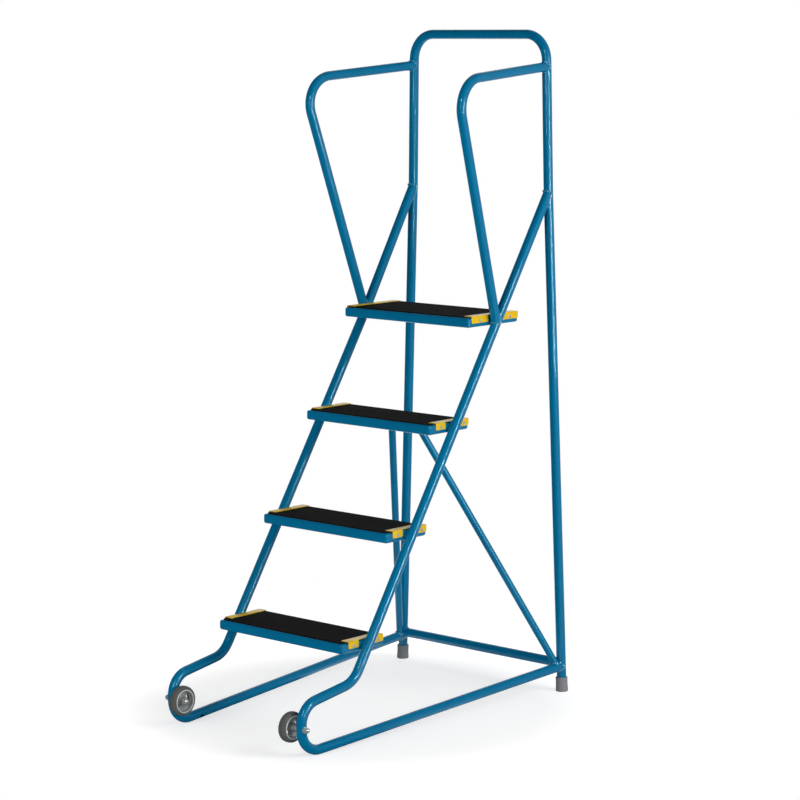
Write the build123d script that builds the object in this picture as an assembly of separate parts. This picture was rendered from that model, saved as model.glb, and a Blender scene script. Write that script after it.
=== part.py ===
"""Tilt and pull steps: four treads between two bent tube side frames, propped by a tall back hoop.

The frame is welded steel tube. Each side frame is one tube: the stringer comes down from the back
hoop, runs forward, turns round a loop at the front and goes back along the floor as the base rail.
A small wheel sits inside each front loop, clear of the floor until the steps are tilted forward.

X runs across the steps, with the climber's right at plus X. Y runs from the climber's side at minus Y
to the back, and Z is up. The pieces are laid out with Y zero at the back legs, and are then moved so that
the origin is on the floor in the middle of the whole footprint.
"""
import os
from math import cos, radians, sin, tan

from build123d import *

# Tube sizes, in millimetres and degrees
TUBE_DIA = 25.4
BRACE_DIA = 19.0

# Treads, of which the top one is the platform: heights of the decks' tops, frame, deck and edge angles
TREAD_COUNT = 4
FIRST_TREAD_HEIGHT = 255.5
STEP_RISE = 254.5
PLATFORM_RISE = 260.5
TREAD_DEPTH = 152.0
PLATFORM_DEPTH = 200.0
TREAD_SET_FORWARD = 6.0
FRAME_HEIGHT = 25.0
FRAME_BAR_WIDTH = 25.0
FRAME_CORNER_RADIUS = 8.0
FRAME_EDGE_RADIUS = 6.0
DECK_THICKNESS = 2.5
DECK_MARGIN = 6.0
DECK_CORNER_RADIUS = 12.0
ANGLE_WALL = 1.5
ANGLE_FLANGE_WIDTH = 26.0
ANGLE_TAB_HEIGHT = 18.5
ANGLE_TAB_CORNER_RADIUS = 4.0
ANGLE_END_INSET = 13.0
PLATFORM_ANGLE_END_INSET = 8.0
ANGLE_TUBE_GAP = 1.0
ANGLE_NOTCH_GAP = 5.5

# Side frames: half the spacing of the stringers, and the bends from the front loop upwards
SIDE_HALF_SPACING = 231.5
LOOP_SPREAD = -2.5
BASE_LENGTH = 935.0
LOOP_RADIUS = 56.0
LOOP_FRONT_STRAIGHT = 12.3
BASE_RAIL_ANGLE = 3.6
TOE_BAR_ANGLE = 8.8
TOE_BAR_LENGTH = 183.5
TOE_BEND_RADIUS = 70.0
STRINGER_ANGLE = 57.1
STRINGER_TOP_ANGLE = 58.1
STRINGER_TOP_BEND_RADIUS = 300.0

# Back hoop: how far each leg stands outside the side frame, at the top, the stringer's joint and the floor
HOOP_TOP_SPREAD = -1.1
HOOP_STRINGER_SPREAD = 6.6
HOOP_FOOT_SPREAD = 56.2
HOOP_BEND_RADIUS = 68.0
HOOP_LEG_BEND_RADIUS = 900.0
HOOP_ABOVE_HANDRAIL = 83.0

# Handrails: heights over the platform, the bowed out corner and the post's foot on the stringer
HANDRAIL_ABOVE_PLATFORM = 633.0
HANDRAIL_DROP = 30.0
HANDRAIL_REACH = 400.0
HANDRAIL_BOW = 36.0
HANDRAIL_BEND_RADIUS = 75.0
POST_FOOT_BELOW_PLATFORM = 21.5

# Back rail and braces
BACK_RAIL_HEIGHT = 75.4
BRACE_FOOT_SET_FORWARD = 15.0
BRACE_TOP_HALF_SPACING = 39.0
BRACED_TREAD = 3

# Rubber feet on the hoop's legs
FOOT_HEIGHT = 38.0
FOOT_TOP_DIA = 32.0
FOOT_BOTTOM_DIA = 33.0
FOOT_SOLE_THICKNESS = 6.0

# Wheels: tyre, pressed rim, hub and the axle bolt through the front loop
WHEEL_FROM_LOOP = 35.0
TYRE_DIA = 77.0
TYRE_WIDTH = 22.0
TYRE_SHOULDER_RADIUS = 7.0
RIM_DIA = 60.0
RIM_WALL = 2.5
RIM_LIP_PROUD = 1.0
RIM_WEB_THICKNESS = 4.0
WEB_OPENING_COUNT = 2
WEB_OPENING_WIDTH = 9.0
WEB_OPENING_SPREAD_ANGLE = 70.0
HUB_DIA = 22.0
HUB_LENGTH = 26.0
HUB_RUNNING_GAP = 0.5
AXLE_ABOVE_LOOP_BEND = 4.5
AXLE_DIA = 8.0
AXLE_BORE_CLEARANCE = 0.15
AXLE_HEAD_DIA = 15.0
AXLE_HEAD_HEIGHT = 6.0
SPACER_DIA = 14.0
NUT_ACROSS_FLATS = 13.0
NUT_THICKNESS = 6.5
NUT_DOME_DIA = 11.0
WASHER_DIA = 17.0
WASHER_THICKNESS = 1.6

# Overrun for cutting tools
CUT_OVERRUN = 5.0

TUBE_RADIUS = TUBE_DIA / 2
SIDE_INNER_FACE = SIDE_HALF_SPACING - TUBE_RADIUS
LOOP_HALF_SPACING = SIDE_HALF_SPACING + LOOP_SPREAD
LOOP_INNER_FACE = LOOP_HALF_SPACING - TUBE_RADIUS
LOOP_OUTER_FACE = LOOP_HALF_SPACING + TUBE_RADIUS
HOOP_TOP_HALF_SPACING = SIDE_HALF_SPACING + HOOP_TOP_SPREAD
HOOP_STRINGER_HALF_SPACING = SIDE_HALF_SPACING + HOOP_STRINGER_SPREAD
HOOP_FOOT_HALF_SPACING = SIDE_HALF_SPACING + HOOP_FOOT_SPREAD
WHEEL_HALF_SPACING = LOOP_HALF_SPACING - WHEEL_FROM_LOOP
FRAME_TOPS = [FIRST_TREAD_HEIGHT + n * STEP_RISE - DECK_THICKNESS for n in range(TREAD_COUNT - 1)]
FRAME_TOPS.append(FRAME_TOPS[-1] + PLATFORM_RISE)
PLATFORM_HEIGHT = FRAME_TOPS[-1] + DECK_THICKNESS

# Corner points of the right side frame's centreline, from the back leg's foot round to the hoop
LOOP_BEND_TOP_Z = TUBE_RADIUS + LOOP_RADIUS
LOOP_BOTTOM_Z = LOOP_BEND_TOP_Z - LOOP_RADIUS * tan(radians((90 + BASE_RAIL_ANGLE) / 2))
BASE_RAIL_BACK_Z = LOOP_BOTTOM_Z + BASE_LENGTH * tan(radians(BASE_RAIL_ANGLE))
LOOP_TOP_REACH = LOOP_RADIUS * tan(radians((90 - TOE_BAR_ANGLE) / 2))
LOOP_TOP_Z = LOOP_BEND_TOP_Z + LOOP_FRONT_STRAIGHT + LOOP_TOP_REACH
TOE_BEND_Y = TOE_BAR_LENGTH - BASE_LENGTH
TOE_BEND_Z = LOOP_TOP_Z + TOE_BAR_LENGTH * tan(radians(TOE_BAR_ANGLE))
POST_FOOT_Z = PLATFORM_HEIGHT - POST_FOOT_BELOW_PLATFORM
POST_FOOT_Y = TOE_BEND_Y + (POST_FOOT_Z - TOE_BEND_Z) / tan(radians(STRINGER_ANGLE))
STRINGER_TOP_Z = POST_FOOT_Z - POST_FOOT_Y * tan(radians(STRINGER_TOP_ANGLE))

# Heights on the hoop
HANDRAIL_Z = PLATFORM_HEIGHT + HANDRAIL_ABOVE_PLATFORM
HOOP_TOP_Z = HANDRAIL_Z + HOOP_ABOVE_HANDRAIL

# From the middle of the footprint to the back legs
BACK_LEG_Y = (BASE_LENGTH + TYRE_DIA / 2 - FOOT_BOTTOM_DIA / 2) / 2

# Axle line, through the foremost stretch of the front loop
AXLE_Y = -BASE_LENGTH
AXLE_Z = LOOP_BEND_TOP_Z + AXLE_ABOVE_LOOP_BEND


def along(start, end, share):
    """Return the number that lies at a share of the way from start to end."""
    return start + (end - start) * share


def leg_half_spacing(height):
    """Return half the spacing of the hoop's legs at a height."""
    if height > STRINGER_TOP_Z:
        share = (height - STRINGER_TOP_Z) / (HOOP_TOP_Z - STRINGER_TOP_Z)
        return along(HOOP_STRINGER_HALF_SPACING, HOOP_TOP_HALF_SPACING, share)
    return along(HOOP_FOOT_HALF_SPACING, HOOP_STRINGER_HALF_SPACING, height / STRINGER_TOP_Z)


def stringer_y(height):
    """Return the Y of the stringer's centreline at a height below the post's foot."""
    return TOE_BEND_Y + (height - TOE_BEND_Z) / tan(radians(STRINGER_ANGLE))


def stringer_width(height):
    """Return how far a stretch of the stringer, that high, reaches along Y."""
    return TUBE_DIA / sin(radians(STRINGER_ANGLE)) + height / tan(radians(STRINGER_ANGLE))


def bent_tube(corners, bend_radii, diameter):
    """Sweep a round bar along straight runs joined by tangent bends."""
    path = FilletPolyline(*corners, radius=bend_radii)
    section = Plane(origin=path @ 0, z_dir=path % 0) * Circle(diameter / 2)
    return sweep(section, path=path)


def straight_tube(start, end, diameter):
    """Sweep a round bar along one straight run."""
    path = Line(start, end)
    return sweep(Plane(origin=start, z_dir=path % 0) * Circle(diameter / 2), path=path)


def x_rod(diameter, x_from, x_to):
    """Return a round bar on the axle line from one X to another."""
    start = Plane(origin=(x_from, AXLE_Y, AXLE_Z), z_dir=(1, 0, 0))
    return extrude(start * Circle(diameter / 2), x_to - x_from)


def x_revolve(points, x_centre, rounded=(), radius=0.0):
    """Revolve an outline of (radius, offset along X) points about the axle line."""
    outline = Polyline(*[(offset, reach) for reach, offset in points], close=True)
    face = make_face(outline)
    if rounded:
        corners = [v for v in face.vertices() if (v.Y, v.X) in rounded]
        face = fillet(corners, radius)
    return Pos(x_centre, AXLE_Y, AXLE_Z) * revolve(face, axis=Axis.X)


def back_hoop():
    """The tall hoop: two splayed back legs joined by one round topped bend."""
    leg_end = FOOT_SOLE_THICKNESS
    corners = [
        (leg_half_spacing(leg_end), 0, leg_end),
        (HOOP_STRINGER_HALF_SPACING, 0, STRINGER_TOP_Z),
        (HOOP_TOP_HALF_SPACING, 0, HOOP_TOP_Z),
    ]
    mirrored = [(-x, y, z) for x, y, z in reversed(corners)]
    radii = [HOOP_LEG_BEND_RADIUS, HOOP_BEND_RADIUS, HOOP_BEND_RADIUS, HOOP_LEG_BEND_RADIUS]
    return bent_tube(corners + mirrored, radii, TUBE_DIA)


def side_frame(hoop):
    """Right side frame: base rail, front loop, toe bar and stringer in one bent tube."""
    corners = [
        (leg_half_spacing(BASE_RAIL_BACK_Z), 0, BASE_RAIL_BACK_Z),
        (LOOP_HALF_SPACING, -BASE_LENGTH, LOOP_BOTTOM_Z),
        (LOOP_HALF_SPACING, -BASE_LENGTH, LOOP_TOP_Z),
        (SIDE_HALF_SPACING, TOE_BEND_Y, TOE_BEND_Z),
        (SIDE_HALF_SPACING, POST_FOOT_Y, POST_FOOT_Z),
        (HOOP_STRINGER_HALF_SPACING, 0, STRINGER_TOP_Z),
    ]
    radii = [LOOP_RADIUS, LOOP_RADIUS, TOE_BEND_RADIUS, STRINGER_TOP_BEND_RADIUS]
    tube = bent_tube(corners, radii, TUBE_DIA) - hoop
    return tube - x_rod(AXLE_DIA, LOOP_INNER_FACE - CUT_OVERRUN, LOOP_OUTER_FACE + CUT_OVERRUN)


def handrail(hoop, side):
    """Right handrail: a rail forward from the hoop, bent down into a post on the stringer."""
    corner_x = leg_half_spacing(HANDRAIL_Z) + HANDRAIL_BOW
    corners = [
        (leg_half_spacing(HANDRAIL_Z), 0, HANDRAIL_Z),
        (corner_x, -HANDRAIL_REACH, HANDRAIL_Z - HANDRAIL_DROP),
        (SIDE_HALF_SPACING, POST_FOOT_Y, POST_FOOT_Z),
    ]
    return bent_tube(corners, [HANDRAIL_BEND_RADIUS], TUBE_DIA) - hoop - side


def back_rail(hoop, sides):
    """The rail across the back, between the hoop's legs."""
    reach = leg_half_spacing(BACK_RAIL_HEIGHT)
    rail = straight_tube((-reach, 0, BACK_RAIL_HEIGHT), (reach, 0, BACK_RAIL_HEIGHT), TUBE_DIA) - hoop
    for side in sides:
        rail -= side
    return rail


def tread_depth(number):
    """Return the depth of a tread, counted from 1 at the bottom."""
    return PLATFORM_DEPTH if number == TREAD_COUNT else TREAD_DEPTH


def tread_centre_y(number):
    """Return the Y of a tread's middle, near the stringers' crossing."""
    set_forward = 0 if number == TREAD_COUNT else TREAD_SET_FORWARD
    return stringer_y(FRAME_TOPS[number - 1] - FRAME_HEIGHT / 2) - set_forward


def brace(number, hoop, side, rail):
    """Right brace, from the base rail beside the leg up to the rear bar of one tread's frame."""
    foot_share = BRACE_FOOT_SET_FORWARD / BASE_LENGTH
    foot_x = along(leg_half_spacing(BASE_RAIL_BACK_Z), LOOP_HALF_SPACING, foot_share)
    foot_z = along(BASE_RAIL_BACK_Z, LOOP_BOTTOM_Z, foot_share)
    foot = Vector(foot_x, -BRACE_FOOT_SET_FORWARD, foot_z)
    bar_y = tread_centre_y(number) + (tread_depth(number) - FRAME_BAR_WIDTH) / 2
    bar_middle = Vector(BRACE_TOP_HALF_SPACING, bar_y, FRAME_TOPS[number - 1] - FRAME_HEIGHT / 2)
    return straight_tube(foot, bar_middle, BRACE_DIA) - hoop - side - rail - tread_block(number)


def tread_block(number):
    """The outside of a tread's frame, with round corners and round upper and lower edges."""
    outline = RectangleRounded(2 * SIDE_INNER_FACE, tread_depth(number), FRAME_CORNER_RADIUS)
    block = extrude(outline, FRAME_HEIGHT)
    ends = block.faces().sort_by(Axis.Z)
    block = fillet(ends[0].edges() + ends[-1].edges(), FRAME_EDGE_RADIUS)
    return Pos(0, tread_centre_y(number), FRAME_TOPS[number - 1] - FRAME_HEIGHT) * block


def tread_frame(number):
    """A ring of square tube with closed, rounded corners."""
    block = tread_block(number)
    opening = Box(
        2 * (SIDE_INNER_FACE - FRAME_BAR_WIDTH),
        tread_depth(number) - 2 * FRAME_BAR_WIDTH,
        FRAME_HEIGHT + 2 * CUT_OVERRUN,
    )
    return block - Pos(block.bounding_box().center()) * opening


def tread_deck(number):
    """The thin anti-slip board on top of a tread's frame, inside its round edge."""
    length = 2 * (SIDE_INNER_FACE - DECK_MARGIN)
    outline = RectangleRounded(length, tread_depth(number) - 2 * DECK_MARGIN, DECK_CORNER_RADIUS)
    return Pos(0, tread_centre_y(number), FRAME_TOPS[number - 1]) * extrude(outline, DECK_THICKNESS)


def edge_angle(number):
    """Right end angle: a flange over the deck's end and two tabs either side of the stringer."""
    end_inset = PLATFORM_ANGLE_END_INSET if number == TREAD_COUNT else ANGLE_END_INSET
    length = tread_depth(number) - 2 * end_inset
    outer_x = SIDE_INNER_FACE + ANGLE_WALL
    top_z = FRAME_TOPS[number - 1] + DECK_THICKNESS + ANGLE_WALL
    centre_y = stringer_y(top_z - ANGLE_TAB_HEIGHT / 2)
    tab = Pos(outer_x, centre_y, top_z) * Box(
        ANGLE_WALL, length, ANGLE_TAB_HEIGHT, align=(Align.MAX, Align.CENTER, Align.MAX)
    )
    notch = Pos(SIDE_INNER_FACE - ANGLE_TUBE_GAP, centre_y, top_z) * Box(
        ANGLE_TUBE_GAP + ANGLE_WALL + CUT_OVERRUN,
        stringer_width(ANGLE_TAB_HEIGHT) + 2 * ANGLE_NOTCH_GAP,
        2 * (ANGLE_TAB_HEIGHT + CUT_OVERRUN),
        align=(Align.MIN, Align.CENTER, Align.CENTER),
    )
    tab -= notch
    tab = fillet(tab.edges().filter_by(Axis.X).group_by(Axis.Z)[0], ANGLE_TAB_CORNER_RADIUS)
    flange = Pos(outer_x, centre_y, top_z) * Box(
        ANGLE_FLANGE_WIDTH, length, ANGLE_WALL, align=(Align.MAX, Align.CENTER, Align.MAX)
    )
    return tab + (flange - notch)


def rear_foot(hoop):
    """Right rubber ferrule, in line with the splayed leg and flat on the floor."""
    splay = HOOP_FOOT_HALF_SPACING - HOOP_STRINGER_HALF_SPACING
    axis = Plane(origin=(HOOP_FOOT_HALF_SPACING, 0, 0), z_dir=(-splay, 0, STRINGER_TOP_Z))
    bottom, top = FOOT_BOTTOM_DIA / 2, FOOT_TOP_DIA / 2
    points = [(0, -CUT_OVERRUN), (bottom, -CUT_OVERRUN), (bottom, 0), (top, FOOT_HEIGHT), (0, FOOT_HEIGHT)]
    outline = Polyline(*points, close=True)
    cone = axis * revolve(make_face(Plane.XZ * outline), axis=Axis.Z)
    below = (Align.CENTER, Align.CENTER, Align.MAX)
    floor = Box(2 * FOOT_BOTTOM_DIA, 2 * FOOT_BOTTOM_DIA, 2 * CUT_OVERRUN, align=below)
    return cone - Pos(HOOP_FOOT_HALF_SPACING, 0, 0) * floor - hoop


def tyre():
    """Right solid rubber tyre with round shoulders."""
    outer, inner, half = TYRE_DIA / 2, RIM_DIA / 2, TYRE_WIDTH / 2
    points = [(inner, -half), (outer, -half), (outer, half), (inner, half)]
    return x_revolve(points, WHEEL_HALF_SPACING, rounded=points[1:3], radius=TYRE_SHOULDER_RADIUS)


def web_openings():
    """The curved openings in the web, spaced evenly round the hub."""
    reach = (RIM_DIA / 2 - RIM_WALL + HUB_DIA / 2) / 2
    middle = CenterArc((0, 0), reach, -WEB_OPENING_SPREAD_ANGLE / 2, WEB_OPENING_SPREAD_ANGLE)
    opening = extrude(SlotArc(middle, WEB_OPENING_WIDTH), RIM_WEB_THICKNESS + CUT_OVERRUN, both=True)
    place = Plane(origin=(WHEEL_HALF_SPACING, AXLE_Y, AXLE_Z), x_dir=(0, 1, 0), z_dir=(1, 0, 0))
    return [place * Rot(0, 0, n * 360 / WEB_OPENING_COUNT) * opening for n in range(WEB_OPENING_COUNT)]


def wheel_rim():
    """Right rim: a barrel, a pierced web and a hub, in one piece and bored for the axle."""
    half, web = TYRE_WIDTH / 2 + RIM_LIP_PROUD, RIM_WEB_THICKNESS / 2
    barrel, barrel_inner = RIM_DIA / 2, RIM_DIA / 2 - RIM_WALL
    hub, bore = HUB_DIA / 2, AXLE_DIA / 2 + AXLE_BORE_CLEARANCE
    hub_half = HUB_LENGTH / 2
    barrel_side = [(barrel, half), (barrel_inner, half), (barrel_inner, web)]
    side = barrel_side + [(hub, web), (hub, hub_half), (bore, hub_half)]
    points = side + [(reach, -offset) for reach, offset in reversed(side)]
    return x_revolve(points, WHEEL_HALF_SPACING) - web_openings()


def axle():
    """Right axle bolt, with its domed head inside the wheel and its shank through the loop."""
    head_face = WHEEL_HALF_SPACING - HUB_LENGTH / 2 - HUB_RUNNING_GAP
    shank = x_rod(AXLE_DIA, head_face, LOOP_OUTER_FACE + WASHER_THICKNESS)
    radius, height = AXLE_HEAD_DIA / 2, AXLE_HEAD_HEIGHT
    points = [(0, 0), (radius, 0), (radius, -height / 2), (radius / 2, -height), (0, -height)]
    return shank + x_revolve(points, head_face)


def axle_spacer(side):
    """Right spacer between the hub and the loop, seated on the tube's round side."""
    start = WHEEL_HALF_SPACING + HUB_LENGTH / 2 + HUB_RUNNING_GAP
    ring = x_rod(SPACER_DIA, start, LOOP_HALF_SPACING) - side
    ring -= x_rod(AXLE_DIA, start - CUT_OVERRUN, LOOP_OUTER_FACE)
    return ring.solids().sort_by(Axis.X)[0]


def axle_nut(side):
    """Right domed nut and its washer, seated on the outside of the loop."""
    washer_end = LOOP_OUTER_FACE + WASHER_THICKNESS
    nut_end = washer_end + NUT_THICKNESS
    seat = Plane(origin=(washer_end, AXLE_Y, AXLE_Z), z_dir=(1, 0, 0))
    corner_radius = NUT_ACROSS_FLATS / 2 / cos(radians(30))
    nut = extrude(seat * RegularPolygon(corner_radius, 6), NUT_THICKNESS)
    dome_radius = NUT_DOME_DIA / 2
    dome = Pos(nut_end, AXLE_Y, AXLE_Z) * Sphere(dome_radius)
    washer = x_rod(WASHER_DIA, LOOP_HALF_SPACING, washer_end) - side
    washer -= x_rod(AXLE_DIA, LOOP_INNER_FACE, washer_end)
    washer = washer.solids().sort_by(Axis.X)[-1]
    return washer + nut + dome


def left_of(shape):
    """Mirror a right hand piece to the left side."""
    return mirror(shape, about=Plane.YZ)


def build():
    """Return every piece of the steps by its name."""
    hoop = back_hoop()
    side = side_frame(hoop)
    rail = back_rail(hoop, [side, left_of(side)])
    right_hand = {
        "side_frame": side,
        "handrail": handrail(hoop, side),
        "brace": brace(BRACED_TREAD, hoop, side, rail),
        "rear_foot": rear_foot(hoop),
        "tyre": tyre(),
        "wheel_rim": wheel_rim(),
        "axle": axle(),
        "axle_spacer": axle_spacer(side),
        "axle_nut": axle_nut(side),
    }
    pieces = {"back_hoop": hoop, "rear_cross_rail": rail}
    for number in range(1, TREAD_COUNT + 1):
        pieces[f"tread_frame_{number}"] = tread_frame(number)
        pieces[f"tread_deck_{number}"] = tread_deck(number)
        right_hand[f"edge_angle_{number}"] = edge_angle(number)
    for name, shape in right_hand.items():
        pieces[f"{name}_right"] = shape
        pieces[f"{name}_left"] = left_of(shape)
    return pieces


os.makedirs("parts", exist_ok=True)
for node, solid in build().items():
    export_step(Pos(0, BACK_LEG_Y, 0) * solid, f"parts/{node}.step")
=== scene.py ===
"""Tilt and pull steps, dressed and lit as a studio picture.

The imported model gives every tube, tread and wheel at its real place. This script gives each its finish and
makes the pieces whose looks need more than the model's plain solids: the pressed edge angles and their
screws, the weld beads, the drain holes, the moulded ferrules and the wheels. Then come the floor, the lamps
and the camera.

Lengths are in metres unless a name ends in _mm or _px. X runs across the steps, with the climber's right at
plus X. Y runs from the climber to the back, and Z is up.
"""
import logging
import math
from contextlib import contextmanager
from dataclasses import dataclass
from enum import Enum
from typing import Any, Callable, Iterable, Iterator, Sequence

import bpy
from bpy.types import Material, Node, NodeSocket, NodeTree, Object
from mathutils import Matrix, Vector


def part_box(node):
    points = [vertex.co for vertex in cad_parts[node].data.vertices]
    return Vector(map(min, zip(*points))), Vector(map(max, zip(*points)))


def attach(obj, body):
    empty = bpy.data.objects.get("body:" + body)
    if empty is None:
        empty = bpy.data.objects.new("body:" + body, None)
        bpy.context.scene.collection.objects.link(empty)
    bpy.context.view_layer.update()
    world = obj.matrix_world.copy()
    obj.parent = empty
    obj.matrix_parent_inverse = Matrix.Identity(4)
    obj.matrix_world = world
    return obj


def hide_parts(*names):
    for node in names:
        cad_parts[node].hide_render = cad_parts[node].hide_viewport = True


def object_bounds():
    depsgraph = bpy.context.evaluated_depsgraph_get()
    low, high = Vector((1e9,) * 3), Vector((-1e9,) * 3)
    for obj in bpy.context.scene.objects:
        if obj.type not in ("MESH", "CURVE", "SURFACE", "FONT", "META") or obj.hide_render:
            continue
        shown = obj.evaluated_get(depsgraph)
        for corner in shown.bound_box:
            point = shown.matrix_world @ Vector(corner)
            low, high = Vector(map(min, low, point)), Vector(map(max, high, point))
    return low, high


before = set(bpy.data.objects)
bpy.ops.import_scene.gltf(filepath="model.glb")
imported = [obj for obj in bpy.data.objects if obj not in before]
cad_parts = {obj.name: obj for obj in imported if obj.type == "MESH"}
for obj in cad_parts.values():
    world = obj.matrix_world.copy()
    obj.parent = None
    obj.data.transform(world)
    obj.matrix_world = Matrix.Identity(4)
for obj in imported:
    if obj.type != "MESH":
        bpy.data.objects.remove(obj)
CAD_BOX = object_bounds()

log = logging.getLogger("steps")

MM = 0.001
MERGE_MM = 0.002
TREAD_COUNT = 4
MIRROR = Matrix.Scale(-1, 4, (1, 0, 0))
Point = tuple[float, float, float]
BALL_TURNS = [math.radians(15 * n) for n in range(7)]


class Side(Enum):
    """Which side of the steps a piece is on, with the sign of its X."""

    RIGHT = 1
    LEFT = -1

    @property
    def word(self) -> str:
        """The side's name in lower case."""
        return self.name.lower()


def linear(hex_colour: str) -> tuple[float, float, float, float]:
    """Turn an sRGB hex colour into the linear colour that shaders use.

    Args:
        hex_colour: Six hex digits, such as "00618F".

    Returns:
        Red, green, blue and an alpha of 1.
    """
    parts = [int(hex_colour[i:i + 2], 16) / 255 for i in (0, 2, 4)]
    red, green, blue = (c / 12.92 if c <= 0.04045 else ((c + 0.055) / 1.055) ** 2.4 for c in parts)
    return red, green, blue, 1.0


def add_node(
    tree: NodeTree, kind: str, settings: dict[str, Any] | None = None,
    inputs: dict[str | int, Any] | None = None,
) -> Node:
    """Add one node to a tree.

    Args:
        tree: The node tree of a material or the world.
        kind: The node's type name, without the ShaderNode that all of them start with.
        settings: Values for the node's own properties.
        inputs: For each input socket, a value to set or an output socket to link from.

    Returns:
        The new node.
    """
    node = tree.nodes.new(f"ShaderNode{kind}")
    for name, value in (settings or {}).items():
        setattr(node, name, value)
    for name, value in (inputs or {}).items():
        if isinstance(value, NodeSocket):
            tree.links.new(value, node.inputs[name])
        else:
            node.inputs[name].default_value = value
    return node


def math_node(tree: NodeTree, operation: str, *values: Any) -> NodeSocket:
    """Add one step of arithmetic.

    Args:
        tree: The node tree.
        operation: The Math node's operation.
        *values: Its inputs in order, as numbers or sockets.

    Returns:
        The result.
    """
    return add_node(tree, "Math", {"operation": operation}, dict(enumerate(values))).outputs[0]


def noise(tree: NodeTree, size_mm: float, detail: float = 2.0) -> NodeSocket:
    """Add noise on the object's own coordinates.

    Args:
        tree: The node tree.
        size_mm: The size of its largest lumps.
        detail: How many finer layers it has.

    Returns:
        The noise, from 0 to 1.
    """
    place = add_node(tree, "TexCoord").outputs["Object"]
    return add_node(tree, "TexNoise", inputs={
        "Vector": place, "Scale": 1 / (size_mm * MM), "Detail": detail}).outputs[0]


def shade(tree: NodeTree, share: NodeSocket, first: str, second: str) -> NodeSocket:
    """Mix two colours.

    Args:
        tree: The node tree.
        share: How much of the second colour there is.
        first: The first colour in hex.
        second: The second colour in hex.

    Returns:
        The mixed colour.
    """
    return add_node(tree, "Mix", {"data_type": "RGBA"}, {
        0: share, 6: linear(first), 7: linear(second)}).outputs[2]


def relief(tree: NodeTree, height: NodeSocket, strength: float, depth_mm: float) -> NodeSocket:
    """Turn a height into a bumped normal.

    Args:
        tree: The node tree.
        height: The height, from 0 to 1.
        strength: How much of the relief shows.
        depth_mm: The depth of the relief.

    Returns:
        The normal.
    """
    return add_node(tree, "Bump", inputs={
        "Height": height, "Strength": strength, "Distance": depth_mm * MM}).outputs[0]


def principled(tree: NodeTree, inputs: dict[str, Any]) -> None:
    """Add the surface shader and link it to the output.

    Args:
        tree: The material's node tree.
        inputs: The shader's inputs, as for add_node.
    """
    shader = add_node(tree, "BsdfPrincipled", inputs=inputs)
    add_node(tree, "OutputMaterial", inputs={"Surface": shader.outputs[0]})


@dataclass(frozen=True)
class Finish:
    """A surface finish. Each kind fills the node tree of its material in its own way."""

    name: str

    def material(self) -> Material:
        """Make the finish's material.

        Returns:
            The material.
        """
        material = bpy.data.materials.new(self.name)
        material.use_nodes = True
        material.node_tree.nodes.clear()
        self.fill(material.node_tree)
        return material

    def fill(self, tree: NodeTree) -> None:
        """Add the finish's nodes.

        Args:
            tree: The material's empty node tree.
        """
        raise NotImplementedError


@dataclass(frozen=True)
class PowderCoat(Finish):
    """Gloss polyester powder coat on steel tube: a deep blue with a sharp streak of light along each tube.

    The coat keeps a slight orange peel, and its blue drifts a little along the tube where it lies thicker.
    """

    name: str = "gloss_powder_coat_blue"
    colour: str = "0080B0"
    thick_colour: str = "0077A5"
    sheen_tint: str = "A5EAFF"
    roughness: float = 0.1
    specular: float = 0.35
    coat: float = 0.15
    coat_roughness: float = 0.05
    peel_mm: float = 7.0
    peel_depth_mm: float = 0.0015
    peel_strength: float = 0.5
    drift_mm: float = 140.0

    def fill(self, tree: NodeTree) -> None:
        """Add the finish's nodes."""
        blue = shade(tree, noise(tree, self.drift_mm), self.colour, self.thick_colour)
        peel = relief(tree, noise(tree, self.peel_mm, 1.0), self.peel_strength, self.peel_depth_mm)
        principled(tree, {
            "Base Color": blue, "Roughness": self.roughness, "Specular IOR Level": self.specular,
            "Specular Tint": linear(self.sheen_tint), "Coat Weight": self.coat,
            "Coat Roughness": self.coat_roughness, "Normal": peel})


@dataclass(frozen=True)
class GritBoard(Finish):
    """Phenolic faced anti-slip board: near black and matt, with hard grit pressed into the film."""

    name: str = "anti_slip_board_black"
    colour: str = "121212"
    grit_colour: str = "1E1E1E"
    roughness: float = 0.9
    specular: float = 0.05
    grit_mm: float = 1.4
    grit_height_mm: float = 0.25
    grit_strength: float = 0.7
    lump_top: float = 0.15
    lump_foot: float = 0.6

    def fill(self, tree: NodeTree) -> None:
        """Add the finish's nodes."""
        place = add_node(tree, "TexCoord").outputs["Object"]
        grit = add_node(tree, "TexVoronoi", inputs={"Vector": place, "Scale": 1 / (self.grit_mm * MM)})
        lumps = add_node(tree, "MapRange", inputs={
            "Value": grit.outputs["Distance"], "From Min": self.lump_top, "From Max": self.lump_foot,
            "To Min": 1.0, "To Max": 0.0}).outputs[0]
        principled(tree, {
            "Base Color": shade(tree, lumps, self.colour, self.grit_colour),
            "Roughness": self.roughness, "Specular IOR Level": self.specular,
            "Normal": relief(tree, lumps, self.grit_strength, self.grit_height_mm)})


@dataclass(frozen=True)
class AnglePaint(Finish):
    """Stoved enamel on pressed steel angle: a warm signal yellow, smooth and fairly glossy."""

    name: str = "stoved_enamel_yellow"
    colour: str = "FFD600"
    thin_colour: str = "FFCC00"
    roughness: float = 0.3
    specular: float = 0.3
    drift_mm: float = 30.0
    wave_depth_mm: float = 0.05
    wave_strength: float = 0.2

    def fill(self, tree: NodeTree) -> None:
        """Add the finish's nodes."""
        drift = noise(tree, self.drift_mm, 3.0)
        principled(tree, {
            "Base Color": shade(tree, drift, self.colour, self.thin_colour),
            "Roughness": self.roughness, "Specular IOR Level": self.specular,
            "Normal": relief(tree, drift, self.wave_strength, self.wave_depth_mm)})


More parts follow.
